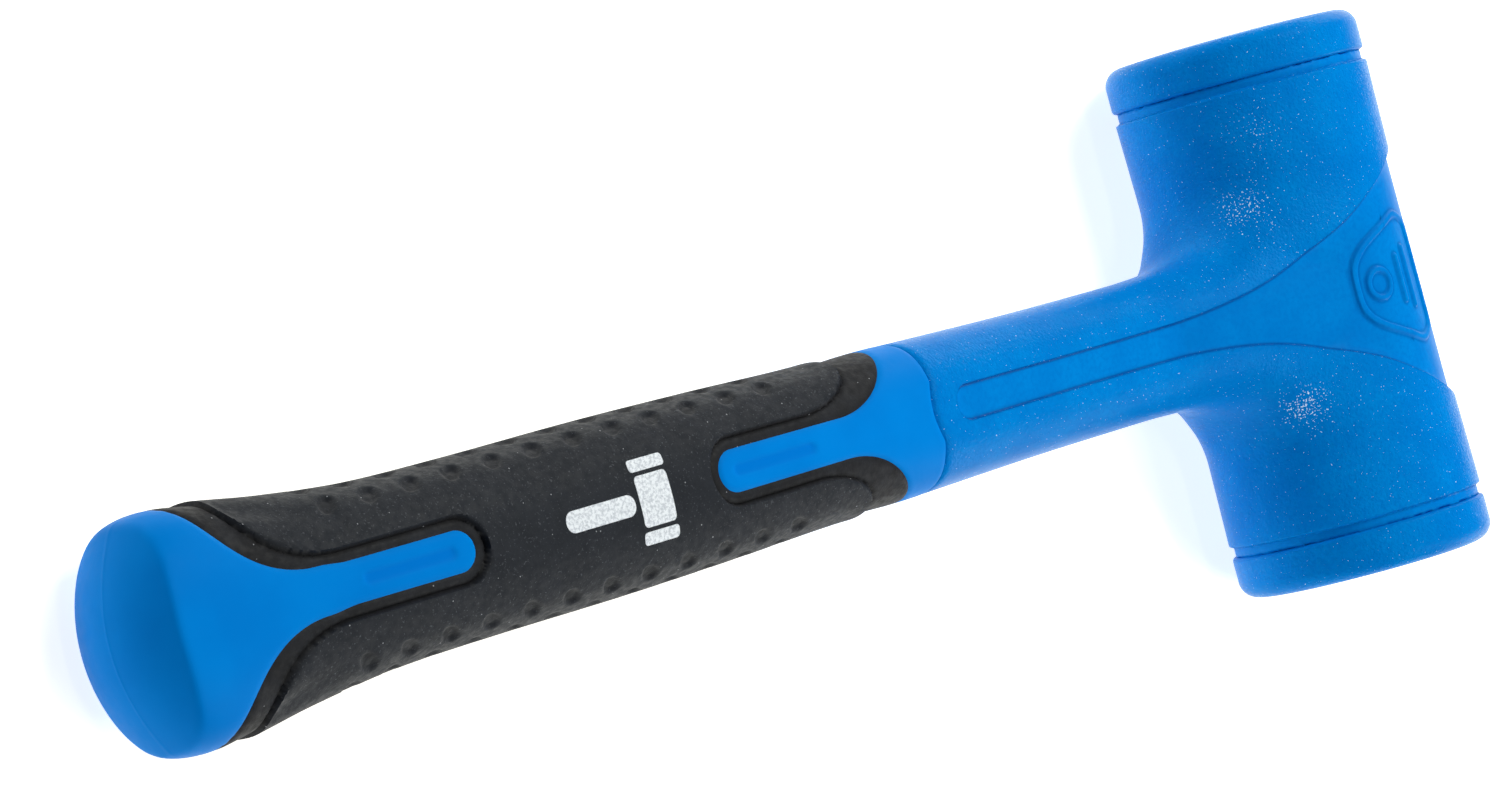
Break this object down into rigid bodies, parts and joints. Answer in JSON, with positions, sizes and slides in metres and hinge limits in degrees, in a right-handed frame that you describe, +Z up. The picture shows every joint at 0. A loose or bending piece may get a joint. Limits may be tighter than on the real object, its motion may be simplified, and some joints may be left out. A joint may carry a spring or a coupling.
{
  "type": "dead blow mallet",
  "caption": "Double-faced soft mallet whose sealed head holds loose steel shot, on a steel-cored two-material grip.",
  "frame": {"origin": "middle of the bottom of the tool's box, on the surface that it lies on, on its side", "axes": "+X from the butt to the head, +Y along the head from the left face to the right face, +Z up"},
  "size_m": [0.2964, 0.098, 0.046],
  "materials": {
    "blue_jacket": "satin moulded polyurethane with a fine pebbled grain",
    "blue_grip": "smooth satin moulded plastic",
    "black_grip": "matte soft rubber with a fine speckle",
    "steel": "plain drawn steel",
    "weld_steel": "rippled weld bead",
    "shot_steel": "dull steel shot",
    "plug_plastic": "plain moulded plastic"
  },
  "bodies": {
    "mallet": {"head_jacket": "blue_jacket", "striking_cap_left": "blue_jacket", "striking_cap_right": "blue_jacket", "grip_core": "blue_grip", "grip_sleeve": "black_grip", "canister_tube": "steel", "canister_end_left": "steel", "canister_end_right": "steel", "canister_welds": "weld_steel", "fill_plug": "steel", "core_tube": "steel", "core_weld": "weld_steel", "joint_washer": "steel", "retaining_pins": "steel", "core_end_plug": "plug_plastic"},
    "shot_charge": {"steel_shot": "shot_steel"}
  },
  "joints": [
    {"name": "shot_slide", "type": "slide", "parent": "mallet", "child": "shot_charge", "axis": [0, 1, 0], "range_m": [-0.005, 0.005]}
  ]
}
